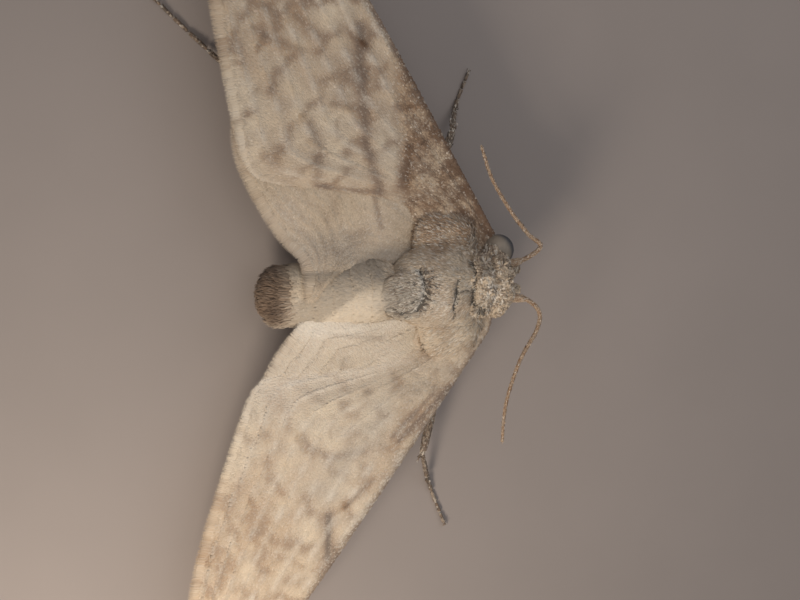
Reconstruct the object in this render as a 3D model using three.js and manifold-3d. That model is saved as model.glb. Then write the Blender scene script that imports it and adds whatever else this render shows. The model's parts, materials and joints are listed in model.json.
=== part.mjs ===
// A small geometrid moth at rest, wings spread flat, standing on its six feet.
// Millimetres. +X is the head, +Y the moth's left, +Z up; the feet stand on z = 0.
// The finished group is moved so that its origin is the middle of its footprint.

import * as THREE from 'three';
import { mergeVertices } from 'three/addons/utils/BufferGeometryUtils.js';
import Module from 'manifold-3d';

// ---- driving dimensions -------------------------------------------------------------

const cut = 0.06;                 // thin cuts that part one piece from the next
const grain = 0.012;              // slivers finer than this, left by a cut, are smoothed away

const thorax = { front: [1.05, 0, 2.28], back: [-1.35, 0, 2.1], halfWidth: 1.05, halfHeight: 0.96 };
const collar = { front: [1.42, 0, 2.36], back: [0.45, 0, 2.32], halfWidth: 0.86, halfHeight: 0.84 };
const head = { front: [1.9, 0.05, 2.3], back: [0.86, 0.03, 2.42], halfWidth: 0.86, halfHeight: 0.74 };
const crest = { front: [-0.35, -0.1, 2.88], back: [-1.64, -0.16, 2.5], halfWidth: 0.62, halfHeight: 0.3 };
const tegula = { front: [1.12, 0.84, 2.6], back: [-0.8, 1.22, 2.42], halfWidth: 0.42, halfHeight: 0.3 };
const abdomen = {
  spine: [[-0.8, 0, 2.05], [-2.2, 0, 1.8], [-3.4, 0, 1.55], [-4.68, 0, 1.4]],
  halfWidth: 0.84,
  halfHeight: 0.76,
  tuftAt: -3.95,                  // the tail tuft starts here
};
const eyeRadius = 0.42;           // the head is rolled, so each eye has its own place in the pose
const palp = { root: [1.6, 0.26, 1.92], tip: [2.26, 0.28, 1.8], radius: 0.25 };

const wingThickness = 0.5;
const wingRim = 0.7;              // the rim's share of that thickness
const foreWing = {
  height: 2.34,                   // mid-plane at the hinge
  tipDrop: 0.34,
  hindDrop: 0.1,                  // how much lower the hind margin lies than the costa
  length: 11.3,
  leading: [[-0.6, -0.45], [-0.15, -0.66], [0.6, -0.71], [7.4, -0.77], [9.6, -0.58], [11.05, -0.02]],
  trailing: [
    [-0.1, 0.95], [0.9, 0.92], [1.75, 0.98], [2.95, 2.42], [3.8, 3.55], [4.3, 3.84],
    [5.0, 3.77], [7.0, 3.1], [8.6, 2.5], [9.9, 1.82], [10.8, 1.05], [11.3, 0.35],
  ],
};
const hindWing = {
  hinge: [-0.45, 1.0],
  height: 1.76,                   // under the fore wing
  drop: 0.2,                      // how much lower the outer margin lies
  leading: [[-0.4, 0.05], [0.15, 1.15], [2.0, 3.0], [4.1, 3.75]],
  outer: [[3.15, -0.2], [3.62, 0.38], [4.2, 1.4], [4.62, 2.5], [4.62, 3.4]],
};

const antenna = { root: [1.62, 0.42, 2.58], radius: 0.25 };
const legRadius = { femur: 0.3, tibia: 0.25, tarsus: 0.25 };
const footRise = 0.2;             // a foot's middle line above the ground; its underside is cut flat
const hips = {                    // where each leg starts inside the chest, and its first bend
  fore: [[1.0, 0.35, 1.6], [1.25, 0.62, 1.15]],
  mid: [[0.35, 0.4, 1.6], [0.31, 0.85, 1.12]],
  hind: [[-0.5, 0.4, 1.6], [-0.68, 0.85, 1.02]],
};

// How each side is held. The left wings are drawn further forward than the right ones.
// Each leg is given as its knee, ankle and toe.
const pose = {
  left: {
    hinge: [0.78, 1.0],
    sweep: 116.3,                 // degrees from the head to the costa
    chord: 1.01,
    reach: 0.97,
    innerMargin: [[0.15, -0.3], [1.2, -0.38], [1.95, -0.42], [2.45, -0.72], [2.8, -1.15], [3.08, -1.05]],
    eye: [1.52, 0.76, 2.36],
    elbow: [[2.18, 0.54, 2.52], [2.62, 0.82, 2.44]],
    antennaRun: [[2.28, 1.18, 2.46], [1.84, 1.8, 2.48], [1.44, 2.6, 2.42], [1.24, 3.4, 2.34]],
    legs: {
      fore: [[1.68, 1.22, 0.92], [1.12, 1.95, 0.5], [0.98, 3.15, footRise]],
      mid: [[0.32, 2.5, 1.2], [1.0, 3.85, 0.7], [1.72, 5.35, footRise]],
      hind: [[-1.95, 2.6, 0.92], [-4.15, 5.2, 0.55], [-6.5, 7.7, footRise]],
    },
  },
  right: {
    hinge: [0.62, -0.9],
    sweep: 128.9,
    chord: 0.9,
    reach: 1.05,
    innerMargin: [[0.15, -0.2], [1.5, -0.14], [2.5, -0.26], [2.98, -0.42]],
    eye: [1.44, -0.56, 2.12],
    elbow: [[2.16, -0.5, 2.52], [2.5, -0.86, 2.44]],
    antennaRun: [[2.4, -1.3, 2.46], [1.9, -2.05, 2.48], [1.5, -3.1, 2.42], [1.37, -4.1, 2.34]],
    legs: {
      fore: [[1.6, -1.2, 0.92], [0.98, -1.9, 0.5], [0.5, -3.0, footRise]],
      mid: [[0.1, -2.6, 1.22], [-0.32, -4.5, 0.75], [0.35, -6.6, footRise]],
      hind: [[-1.9, -2.7, 0.92], [-3.7, -5.6, 0.55], [-4.6, -8.3, footRise]],
    },
  },
};

const scales = {                  // colours of the scaled parts
  cream: 0xcdbda2, grey: 0x9c9185, tan: 0xb39a78, brown: 0x5b4636, dark: 0x3c342f, eye: 0x1d2733,
};

// ---- solids -------------------------------------------------------------------------

const wasm = await Module();
wasm.setup();

const up = new THREE.Vector3(0, 0, 1);
const point = (values) => new THREE.Vector3(...values);
const mirrored = ([x, y, z], side) => [x, y * side, z];

// Leaves position only, joins shared vertices and turns the faces outward.
function closed(geometry) {
  geometry.deleteAttribute('normal');
  geometry.deleteAttribute('uv');
  const merged = mergeVertices(geometry, 1e-5);
  const position = merged.attributes.position;
  const index = merged.index.array;
  const [a, b, c] = [new THREE.Vector3(), new THREE.Vector3(), new THREE.Vector3()];
  let volume = 0;
  for (let i = 0; i < index.length; i += 3) {
    a.fromBufferAttribute(position, index[i]);
    b.fromBufferAttribute(position, index[i + 1]);
    c.fromBufferAttribute(position, index[i + 2]);
    volume += a.dot(b.cross(c));
  }
  if (volume < 0) {
    for (let i = 0; i < index.length; i += 3) [index[i], index[i + 1]] = [index[i + 1], index[i]];
  }
  return merged;
}

function toSolid(geometry) {
  const vertProperties = new Float32Array(geometry.attributes.position.array);
  const triVerts = new Uint32Array(geometry.index.array);
  return new wasm.Manifold(new wasm.Mesh({ numProp: 3, vertProperties, triVerts }));
}

function fromSolid(solid) {
  const mesh = solid.getMesh();
  const geometry = new THREE.BufferGeometry();
  geometry.setAttribute('position', new THREE.BufferAttribute(mesh.vertProperties, 3));
  geometry.setIndex(new THREE.BufferAttribute(mesh.triVerts, 1));
  return geometry;
}

// A round-sectioned form along a curve: size(t) gives its half width and half height at t.
function loft(curve, size, sides, steps) {
  const geometry = new THREE.CylinderGeometry(1, 1, 1, sides, steps);
  const position = geometry.attributes.position;
  for (let i = 0; i < position.count; i++) {
    const along = THREE.MathUtils.clamp(position.getY(i) + 0.5, 0, 1);
    const centre = curve.getPoint(along);
    const tangent = curve.getTangent(along);
    const across = new THREE.Vector3().crossVectors(up, tangent).normalize();
    const lift = new THREE.Vector3().crossVectors(tangent, across);
    const [halfWidth, halfHeight] = size(along);
    centre.addScaledVector(across, position.getX(i) * halfWidth);
    centre.addScaledVector(lift, position.getZ(i) * halfHeight);
    position.setXYZ(i, centre.x, centre.y, centre.z);
  }
  return toSolid(closed(geometry));
}

// Rounded at both ends; a larger power makes the ends blunter.
function roundedForm(spine, halfWidth, halfHeight, power, grow, sides, steps) {
  const curve = spine.length === 2
    ? new THREE.LineCurve3(point(spine[0]), point(spine[1]))
    : new THREE.CatmullRomCurve3(spine.map(point));
  const eased = {                 // stations are crowded towards the ends, where it rounds off
    getPoint: (t) => {
      const bent = (1 - Math.cos(Math.PI * t)) / 2;
      return curve.getPoint(bent).addScaledVector(curve.getTangent(bent), (2 * bent - 1) * grow);
    },
    getTangent: (t) => curve.getTangent((1 - Math.cos(Math.PI * t)) / 2),
  };
  const tip = 0.12;               // half width of the small flat at each end
  const size = (t) => {
    const full = (1 - Math.abs(Math.cos(Math.PI * t)) ** power) ** (1 / 2);
    const [wide, high] = [halfWidth + grow, halfHeight + grow];
    return [tip + (wide - tip) * full, tip + (high - tip) * full];
  };
  return loft(eased, size, sides, steps);
}

// The foot comes down from the ankle and lies along the ground to the toe.
function footLine(ankle, toe) {
  const landing = 0.45;           // share of the way at which it meets the ground
  const halfway = ankle.map((value, axis) => value + (toe[axis] - value) * landing);
  return [ankle, [halfway[0], halfway[1], footRise], toe];
}

function tube(points, radius, grow, steps) {
  const curve = points.length === 2
    ? new THREE.LineCurve3(point(points[0]), point(points[1]))
    : new THREE.CatmullRomCurve3(points.map(point), false, 'centripetal');
  const tipShare = 0.62;          // the ends are drawn in a little
  const size = (t) => {
    const share = t < 1e-6 || t > 1 - 1e-6 ? tipShare : 1;
    return [(radius + grow) * share, (radius + grow) * share];
  };
  return loft(curve, size, 8, steps);
}

const smooth = THREE.MathUtils.smoothstep;

// A wing between its leading and trailing margins, both given in the plane of the wing.
function wing(leading, trailing, toMoth, height, spanSteps, chordSteps) {
  const lead = new THREE.SplineCurve(leading.map(([u, v]) => new THREE.Vector2(u, v)));
  const trail = new THREE.SplineCurve(trailing.map(([u, v]) => new THREE.Vector2(u, v)));
  const geometry = new THREE.BoxGeometry(1, 1, 1, spanSteps, chordSteps, 1);
  const position = geometry.attributes.position;
  for (let i = 0; i < position.count; i++) {
    const span = position.getX(i) + 0.5;
    const chord = position.getY(i) + 0.5;
    const inPlane = lead.getPointAt(span).lerp(trail.getPointAt(span), chord);
    const [x, y] = toMoth(inPlane.x, inPlane.y);
    const onRim = Math.abs(chord - 0.5) > 0.49 || span > 0.99;
    const half = (wingThickness / 2) * (onRim ? wingRim : 1);
    position.setXYZ(i, x, y, height(x, y, inPlane.x, inPlane.y) + Math.sign(position.getZ(i)) * half);
  }
  return toSolid(closed(geometry));
}

function foreWingSolid(held, side) {
  const angle = THREE.MathUtils.degToRad(held.sweep);
  const toMoth = (u, v) => [
    held.hinge[0] + u * Math.cos(angle) - v * held.chord * Math.sin(angle),
    held.hinge[1] + side * (u * Math.sin(angle) + v * held.chord * Math.cos(angle)),
  ];
  const height = (x, y, u, v) => foreWing.height
    - foreWing.tipDrop * Math.max(u / foreWing.length, 0) ** 1.5
    - foreWing.hindDrop * Math.max(v / 4, 0) ** 2;
  return wing(foreWing.leading, foreWing.trailing, toMoth, height, 18, 6);
}

function abdomenTop(x) {
  const curve = new THREE.CatmullRomCurve3(abdomen.spine.map(point));
  const [start, end] = [abdomen.spine[0][0], abdomen.spine.at(-1)[0]];
  return curve.getPoint(THREE.MathUtils.clamp((x - start) / (end - start), 0, 1)).z + abdomen.halfHeight;
}

function hindWingSolid(held, side) {
  const toMoth = (back, out) => [hindWing.hinge[0] - back, side * (hindWing.hinge[1] + out)];
  // The wing lies flat under the fore wing and climbs over the abdomen towards its inner corner.
  const height = (x, y) => {
    const overBack = abdomenTop(x) + cut + wingThickness / 2;
    const near = 1 - smooth(Math.abs(y), 0.35, 1.75);
    const within = 1 - smooth(x, -3.0, -1.35);
    const flat = hindWing.height - hindWing.drop * smooth(-x, 0.6, 3.4);
    return flat + (overBack - flat) * near * within;
  };
  const outer = hindWing.outer.map(([back, out]) => [back * held.reach, out]);
  const leading = hindWing.leading.map(([back, out]) => [back * held.reach, out]);
  return wing(leading, [...held.innerMargin, ...outer], toMoth, height, 13, 6);
}

function ball(centre, radius) {
  const geometry = new THREE.SphereGeometry(radius, 14, 8);
  geometry.translate(...centre);
  return toSolid(closed(geometry));
}

function block(min, max) {
  const [low, high] = [point(min), point(max)];
  const size = high.clone().sub(low);
  const geometry = new THREE.BoxGeometry(size.x, size.y, size.z);
  geometry.translate(...low.add(high).multiplyScalar(0.5).toArray());
  return toSolid(closed(geometry));
}

const without = (solid, ...others) => others.reduce((left, other) => left.subtract(other), solid);

// ---- the moth -----------------------------------------------------------------------

const moth = new THREE.Group();

function add(name, solid, color, roughness = 0.85) {
  const material = new THREE.MeshStandardMaterial({ color, roughness, metalness: 0 });
  const mesh = new THREE.Mesh(fromSolid(solid.asOriginal().simplify(grain)), material);
  mesh.name = name;
  moth.add(mesh);
}

const form = (part, power, grow, sides, steps, side = 1) => roundedForm(
  [mirrored(part.back, side), mirrored(part.front, side)],
  part.halfWidth, part.halfHeight, power, grow, sides, steps);

const thoraxSolid = (grow) => form(thorax, 2.4, grow, 20, 10);
const collarSolid = (grow) => form(collar, 2.6, grow, 16, 8);
const headSolid = (grow) => form(head, 2.6, grow, 16, 8);
const crestSolid = (grow) => form(crest, 2.4, grow, 12, 6);
const abdomenSolid = (grow) => roundedForm(
  abdomen.spine, abdomen.halfWidth, abdomen.halfHeight, 5, grow, 20, 14);

// trunk
add('thorax', without(thoraxSolid(0), crestSolid(cut)), scales.tan);
add('crest', crestSolid(0), scales.grey);
add('collar', without(collarSolid(0), thoraxSolid(cut)), scales.grey);

const far = 20;                   // a reach that takes in the whole moth
const bareAbdomen = without(abdomenSolid(0), thoraxSolid(cut), crestSolid(cut));
const behind = (x) => block([-far, -far, -far], [x, far, far]);
add('abdomen', without(bareAbdomen, behind(abdomen.tuftAt)), scales.cream);
add('tail_tuft', bareAbdomen.intersect(behind(abdomen.tuftAt - cut)), scales.brown);

// head
const eyeSolid = (held, grow) => ball(held.eye, eyeRadius + grow);
const eyeRooms = Object.values(pose).map((held) => eyeSolid(held, cut));
add('head', without(headSolid(0), collarSolid(cut), thoraxSolid(cut), ...eyeRooms), scales.grey);

const aboveGround = block([-far, -far, 0], [far, far, far]);
const shoulders = [thoraxSolid(cut), collarSolid(cut)];

for (const [name, held] of Object.entries(pose)) {
  const side = name === 'left' ? 1 : -1;

  add(`eye_${name}`, without(eyeSolid(held, 0), ...shoulders), scales.eye, 0.25);

  const palpEnds = [mirrored(palp.root, side), mirrored(palp.tip, side)];
  add(`palp_${name}`, without(tube(palpEnds, palp.radius, 0, 4), headSolid(cut)), scales.brown);

  const antennaRoot = [mirrored(antenna.root, side), ...held.elbow];
  const antennaBase = (grow) => tube(antennaRoot, antenna.radius, grow, 5);
  const flagellum = tube([held.elbow[1], ...held.antennaRun], antenna.radius, 0, 12);
  add(`antenna_base_${name}`, without(antennaBase(0), headSolid(cut), eyeSolid(held, cut)), scales.brown);
  add(`antenna_${name}`, without(flagellum, antennaBase(cut)), scales.brown);

  const tegulaSolid = (grow) => form(tegula, 2.6, grow, 12, 8, side);
  add(`tegula_${name}`, without(tegulaSolid(0), ...shoulders), scales.tan);

  const wingRooms = [...shoulders, headSolid(cut), eyeSolid(held, cut), tegulaSolid(cut)];
  add(`forewing_${name}`, without(foreWingSolid(held, side), ...wingRooms), scales.cream);
  const bodyRooms = [thoraxSolid(cut), crestSolid(cut), abdomenSolid(cut)];
  add(`hindwing_${name}`, without(hindWingSolid(held, side), ...bodyRooms), scales.cream);

  for (const [pair, [knee, ankle, toe]] of Object.entries(held.legs)) {
    const hip = hips[pair].map((joint) => mirrored(joint, side));
    const femur = (grow) => tube([...hip, knee], legRadius.femur, grow, 6);
    const tibia = (grow) => tube([knee, ankle], legRadius.tibia, grow, 3);
    const tarsus = tube(footLine(ankle, toe), legRadius.tarsus, 0, 6);
    add(`${pair}_femur_${name}`, without(femur(0), ...shoulders, abdomenSolid(cut)), scales.dark);
    add(`${pair}_tibia_${name}`, without(tibia(0), femur(cut)), scales.dark);
    add(`${pair}_tarsus_${name}`, without(tarsus, tibia(cut)).intersect(aboveGround), scales.dark);
  }
}

const box = new THREE.Box3().setFromObject(moth);
moth.position.set(-(box.min.x + box.max.x) / 2, -(box.min.y + box.max.y) / 2, -box.min.z);

export default moth;
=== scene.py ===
# A small geometrid moth at rest with its wings spread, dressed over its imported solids.
# Shapes are worked out in millimetres from the moth's own zero, which lies under the middle
# of its chest: +X is the head, +Y its left side and +Z up. Each piece is turned into metres last.

import json
import math
from types import SimpleNamespace

import bmesh
import bpy
import numpy as np
from mathutils import Matrix, Vector

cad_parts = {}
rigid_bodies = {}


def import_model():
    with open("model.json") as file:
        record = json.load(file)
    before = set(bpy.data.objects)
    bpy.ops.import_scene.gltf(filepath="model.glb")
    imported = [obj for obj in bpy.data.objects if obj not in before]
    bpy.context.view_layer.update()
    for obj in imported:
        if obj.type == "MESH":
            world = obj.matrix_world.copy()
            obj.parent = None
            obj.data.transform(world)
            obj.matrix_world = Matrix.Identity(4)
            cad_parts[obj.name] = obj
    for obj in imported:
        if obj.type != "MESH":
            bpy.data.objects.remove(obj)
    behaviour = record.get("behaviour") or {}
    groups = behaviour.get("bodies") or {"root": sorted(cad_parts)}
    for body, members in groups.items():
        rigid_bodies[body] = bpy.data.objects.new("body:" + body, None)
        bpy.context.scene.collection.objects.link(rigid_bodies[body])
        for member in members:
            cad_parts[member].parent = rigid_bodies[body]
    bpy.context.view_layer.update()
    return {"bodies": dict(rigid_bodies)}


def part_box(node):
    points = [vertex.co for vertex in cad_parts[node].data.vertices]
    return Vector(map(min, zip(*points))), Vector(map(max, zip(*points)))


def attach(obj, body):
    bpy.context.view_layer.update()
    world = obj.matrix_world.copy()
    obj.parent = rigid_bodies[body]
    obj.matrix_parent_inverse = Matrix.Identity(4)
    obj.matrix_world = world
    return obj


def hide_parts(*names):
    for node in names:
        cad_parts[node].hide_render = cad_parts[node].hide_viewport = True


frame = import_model()
bodyName = next(iter(frame["bodies"]))    # nothing moves, so there is one body
scene = bpy.context.scene
scene.view_settings.view_transform = "Standard"

mm = 0.001
chestMiddle = -0.15                       # the chest's middle, forward of the moth's zero
chestLow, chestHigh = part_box("thorax")
zero = Vector(((chestLow.x + chestHigh.x) / 2 - chestMiddle * mm, (chestLow.y + chestHigh.y) / 2, 0))
coatShare = 1.0   # fewer scales while trying things out
sides = {"left": 1, "right": -1}


# small sums on arrays

def unit(vectors):
    return vectors / np.maximum(np.linalg.norm(vectors, axis=-1, keepdims=True), 1e-9)


def ease(value, low, high):
    share = np.clip((value - low) / (high - low), 0, 1)
    return share * share * (3 - 2 * share)


def bump(value, middle, width):
    return np.exp(-(((value - middle) / width) ** 2))


def blend(first, second, share):
    share = np.asarray(share)[..., None] if np.ndim(first) > np.ndim(share) else share
    return first * (1 - share) + second * share


# A soft random field between about -1 and 1, the same on every run.
def mottle(points, size, seed):
    random = np.random.default_rng(seed)
    total = np.zeros(points.shape[:-1])
    for _ in range(9):
        heading = random.normal(size=points.shape[-1])
        heading *= random.uniform(0.6, 1.5) / np.linalg.norm(heading)
        total += np.sin(points @ heading * (math.tau / size) + random.uniform(0, math.tau))
    return total / 3


# Evenly spaced points on a smooth curve through the given ones.
def curveThrough(points, count):
    given = np.array(points, float)
    ends = np.vstack([given[:1], given, given[-1:]])
    share = np.linspace(0, 1, 40, endpoint=False)[:, None]
    runs = []
    for p0, p1, p2, p3 in zip(ends, ends[1:], ends[2:], ends[3:]):
        pull1, pull2 = (p2 - p0) / 2, (p3 - p1) / 2
        runs.append((2 * share**3 - 3 * share**2 + 1) * p1 + (share**3 - 2 * share**2 + share) * pull1
                    + (3 * share**2 - 2 * share**3) * p2 + (share**3 - share**2) * pull2)
    dense = np.vstack(runs + [given[-1:]])
    gone = np.append(0, np.cumsum(np.linalg.norm(np.diff(dense, axis=0), axis=1)))
    stops = np.linspace(0, gone[-1], count)
    return np.stack([np.interp(stops, gone, dense[:, axis]) for axis in range(dense.shape[1])], 1)


# How near points are to a stroke through the given ones: 1 on it, falling off over the width.
def nearness(u, v, stroke, width):
    points, stroke = np.stack([u, v], -1), np.array(stroke, float)
    best = np.full(np.shape(u), np.inf)
    for start, end in zip(stroke, stroke[1:]):
        run = end - start
        share = np.clip(((points - start) @ run) / (run @ run), 0, 1)
        best = np.minimum(best, np.linalg.norm(points - start - share[..., None] * run, axis=-1))
    return np.exp(-((best / width) ** 2))


# meshes

def newMesh(name, points, faces, values=None):
    mesh = bpy.data.meshes.new(name)
    mesh.from_pydata(np.asarray(points).tolist(), [], [list(map(int, face)) for face in faces])
    for key, value in (values or {}).items():
        setValues(mesh, key, value)
    return mesh


# One number for the whole mesh, or a number or a vector for each point.
def setValues(mesh, key, value):
    value = np.asarray(value, np.float32)
    if value.ndim == 0:
        value = np.full(len(mesh.vertices), value)
    kind, field = ("FLOAT_VECTOR", "vector") if value.ndim == 2 else ("FLOAT", "value")
    mesh.attributes.new(key, kind, "POINT").data.foreach_set(field, value.ravel())


def inScene(mesh):
    made = bpy.data.objects.new(mesh.name, mesh)
    scene.collection.objects.link(made)
    return made


def evaluated(thing):
    graph = bpy.context.evaluated_depsgraph_get()
    return bpy.data.meshes.new_from_object(thing.evaluated_get(graph))


def readPoints(mesh, normals=False):
    source, key = (mesh.vertex_normals, "vector") if normals else (mesh.vertices, "co")
    flat = np.empty(len(mesh.vertices) * 3, np.float32)
    source.foreach_get(key, flat)
    return flat.reshape(-1, 3).astype(float)


def cornerPoints(mesh):                   # the point at each corner of each face
    corners = np.empty(len(mesh.loops), np.int32)
    mesh.loops.foreach_get("vertex_index", corners)
    return corners


def turnOutward(mesh):
    work = bmesh.new()
    work.from_mesh(mesh)
    bmesh.ops.recalc_face_normals(work, faces=work.faces)
    work.to_mesh(mesh)
    work.free()


# The last step for every piece: metres, its material and the body it rides on.
def finishPiece(mesh, name, material, nodes=(), smooth=True):
    mesh.name = name
    mesh.transform(Matrix.Translation(zero) @ Matrix.Scale(mm, 4))
    mesh.materials.clear()
    mesh.materials.append(material)
    if smooth:
        mesh.shade_smooth()
    piece = inScene(mesh)
    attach(piece, bodyName)
    if nodes:
        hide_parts(*nodes)
    print(f"  {name}: {len(mesh.loops) - 2 * len(mesh.polygons)} triangles")


# A closed form of round section along a path; sizes are its half widths and half heights.
def roundAlong(path, sizes, around, across=None):
    tangents = unit(np.gradient(path, axis=0))
    across = unit(np.cross([0, 0, 1], tangents)) if across is None else across + 0 * path
    lift = np.cross(tangents, across)
    turn = np.linspace(0, math.tau, around, endpoint=False)[None, :, None]
    rings = path[:, None] + sizes[:, :1, None] * np.cos(turn) * across[:, None]
    rings = rings + sizes[:, 1:, None] * np.sin(turn) * lift[:, None]
    points = np.vstack([rings.reshape(-1, 3), path[:1], path[-1:]])
    faces, last, end = [], len(points) - 1, (len(path) - 1) * around
    for side in range(around):
        other = (side + 1) % around
        for step in range(0, end, around):
            a, b = step + side, step + other
            faces.append((a, b, b + around, a + around))
        faces += [(last - 1, other, side), (last, end + side, end + other)]
    return points, faces


def joined(forms):
    points, faces, start = [], [], 0
    for formPoints, formFaces in forms:
        points.append(formPoints)
        faces += [tuple(corner + start for corner in face) for face in formFaces]
        start += len(formPoints)
    return np.vstack(points), faces


# nodes: a wire is a socket that can be used in sums

class Wire:
    def __init__(self, tree, socket):
        self.tree = tree
        self.socket = socket

    def sum(self, operation, *values):
        places = dict(enumerate(values))
        return self.tree.node("ShaderNodeMath", {"operation": operation}, places)

    def out(self, name):
        return Wire(self.tree, self.socket.node.outputs[name])

    def __add__(self, other):
        return self.sum("ADD", self, other)

    __radd__ = __add__

    def __sub__(self, other):
        return self.sum("SUBTRACT", self, other)

    def __rsub__(self, other):
        return self.sum("SUBTRACT", other, self)

    def __mul__(self, other):
        return self.sum("MULTIPLY", self, other)

    __rmul__ = __mul__

    def clamped(self):
        return self.sum("MINIMUM", self.sum("MAXIMUM", self, 0.0), 1.0)

    def fraction(self):
        return self.sum("FRACT", self)


class Tree:
    def __init__(self, nodeTree):
        self.nodeTree = nodeTree

    def node(self, kind, settings=None, sockets=None, out=None):
        made = self.nodeTree.nodes.new(kind)
        for key, value in (settings or {}).items():
            setattr(made, key, value)
        for key, value in (sockets or {}).items():
            socket = made.inputs[key]
            if isinstance(key, str) and not socket.enabled:
                socket = next(s for s in made.inputs if s.name == key and s.enabled)
            if isinstance(value, Wire):
                self.nodeTree.links.new(value.socket, socket)
            else:
                socket.default_value = value
        shown = [s for s in made.outputs if s.enabled]
        return Wire(self, made.outputs[out] if out else (shown or [None])[0])

    def attribute(self, name):
        return self.node("ShaderNodeAttribute", {"attribute_name": name}, out="Fac")

    def mixed(self, share, first, second):
        return self.node("ShaderNodeMix", {"data_type": "RGBA"}, {"Factor": share, "A": first, "B": second})

    # A pattern of the given size in the piece's own space.
    def pattern(self, kind, size, out, **sockets):
        place = self.node("ShaderNodeTexCoord", out="Object")
        sockets = {"Vector": place, "Scale": 1 / (size * mm), **sockets}
        return self.node("ShaderNodeTex" + kind, {}, sockets, out)


def newMaterial(name, socketsOf):
    material = bpy.data.materials.new(name)
    material.use_nodes = True
    material.node_tree.nodes.clear()
    tree = Tree(material.node_tree)
    surface = tree.node("ShaderNodeBsdfPrincipled", {}, socketsOf(tree))
    tree.node("ShaderNodeOutputMaterial", {}, {"Surface": surface})
    return material


# A node group that makes geometry, with named inputs; asked holds each input's identifier.
def newGroup(name, inputs, output):
    group = bpy.data.node_groups.new(name, "GeometryNodeTree")
    asked = {}
    for key, kind in inputs.items():
        socket = group.interface.new_socket(name=key, in_out="INPUT", socket_type="NodeSocket" + kind)
        asked[key] = socket.identifier
    group.interface.new_socket(name=output, in_out="OUTPUT", socket_type="NodeSocketGeometry")
    tree = Tree(group)
    return group, asked, tree, tree.node("NodeGroupInput")


# Both groups end here: instances made real, and their material set.
def endGroup(tree, given, made, output):
    whole = tree.node("GeometryNodeRealizeInstances", {}, {"Geometry": made})
    dressed = tree.node("GeometryNodeSetMaterial", {}, {"Geometry": whole, "Material": given.out("Material")})
    tree.node("NodeGroupOutput", {}, {output: dressed})


# What a group makes of an object, as a plain mesh. The object goes.
def grown(thing, group, asked, values):
    grower = thing.modifiers.new("growth", "NODES")
    grower.node_group = group
    for key, value in values.items():
        grower[asked[key]] = value
    mesh = evaluated(thing)
    bpy.data.objects.remove(thing)
    return mesh


# the finish of scales: one recipe of marks, read by skin, wings and coat alike

def tint(red, green, blue):               # a colour as the eye names it, made linear
    return tuple(c / 12.92 if c < 0.04045 else ((c + 0.055) / 1.055) ** 2.4
                 for c in (red, green, blue)) + (1.0,)


dyes = {
    "cream": tint(0.84, 0.77, 0.67),
    "ochre": tint(0.66, 0.53, 0.40),
    "ash": tint(0.60, 0.58, 0.55),
    "umber": tint(0.39, 0.29, 0.215),
    "ink": tint(0.15, 0.12, 0.105),
    "pale": tint(0.93, 0.90, 0.85),
}
softMarks = ("ochre", "ash")              # these tint every scale a little
grainMarks = ("umber", "ink", "pale")     # these are a share of scales of another colour
skinMarks = (*softMarks, *grainMarks, "grain")
scaleGloss = {"Specular IOR Level": 0.3, "Sheen Weight": 0.15, "Sheen Roughness": 0.5}
scaleCells = {"size": 0.07, "depth": 0.02, "strength": 0.5}


def scaleFinish(name, grain, roughness, relief=None):
    def sockets(tree):
        shade = grain(tree)
        grained = tree.attribute("grain")
        colour = dyes["cream"]
        for mark in softMarks:
            share = (tree.attribute(mark) * (shade * 0.5 + 0.75)).clamped()
            colour = tree.mixed(share, colour, dyes[mark])
        for turn, mark in enumerate(grainMarks):
            chance = (shade * (1 + 6.37 * turn)).fraction()
            amount = tree.attribute(mark)
            picked = ((amount * 1.1 - chance) * 5 + 0.5).clamped()
            share = (picked * grained + amount * (1 - grained)).clamped()
            colour = tree.mixed(share, colour, dyes[mark])
        light = 1 + ((shade * 13.7).fraction() - 0.5) * (grained * 0.25 + 0.08)
        colour = tree.node("ShaderNodeVectorMath", {"operation": "SCALE"}, {0: colour, "Scale": light})
        made = {"Base Color": colour, "Roughness": roughness, **scaleGloss}
        return {**made, "Normal": relief(tree)} if relief else made

    return newMaterial(name, sockets)


def ownGrain(tree):                       # each scale's own random number
    return tree.attribute("shade")


def fineGrain(tree):                      # the same, where there are no separate scales
    cells = tree.pattern("Voronoi", scaleCells["size"], "Color")
    return tree.node("ShaderNodeSeparateColor", {}, {"Color": cells}, "Red")


def scaleRelief(tree):
    cells = tree.pattern("Voronoi", scaleCells["size"], "Distance")
    return tree.node("ShaderNodeBump", {}, {"Strength": scaleCells["strength"],
                                            "Distance": scaleCells["depth"] * mm, "Height": cells})


coatFinish = scaleFinish("scaleCoat", ownGrain, 0.78)
skinFinish = scaleFinish("scaledSkin", fineGrain, 0.82, scaleRelief)


# the coat: scales of a few shapes, set over a ground that says how they lie

# A closed blade along X: root, rows of left, ridge and right, then the tip.
def blade(name, rows, tipDroop=0.0):
    points = [(0, 0, 0)]
    for along, halfWidth, ridge, lift in rows:
        points += [(along, -halfWidth, lift), (along, 0, lift + ridge), (along, halfWidth, lift)]
    points.append((1, 0, tipDroop))
    tip = len(points) - 1
    faces = [(0, 1, 2), (0, 2, 3), (0, 3, 1)]
    for start in range(1, tip - 3, 3):
        a, b, c, d, e, f = range(start, start + 6)
        faces += [(a, d, e, b), (b, e, f, c), (c, f, d, a)]
    a, b, c = tip - 3, tip - 2, tip - 1
    faces += [(a, tip, b), (b, tip, c), (c, tip, a)]
    spots = np.array(points, float)
    return inScene(newMesh(name, spots, faces, {"along": spots[:, 0], "across": spots[:, 1]}))


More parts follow.
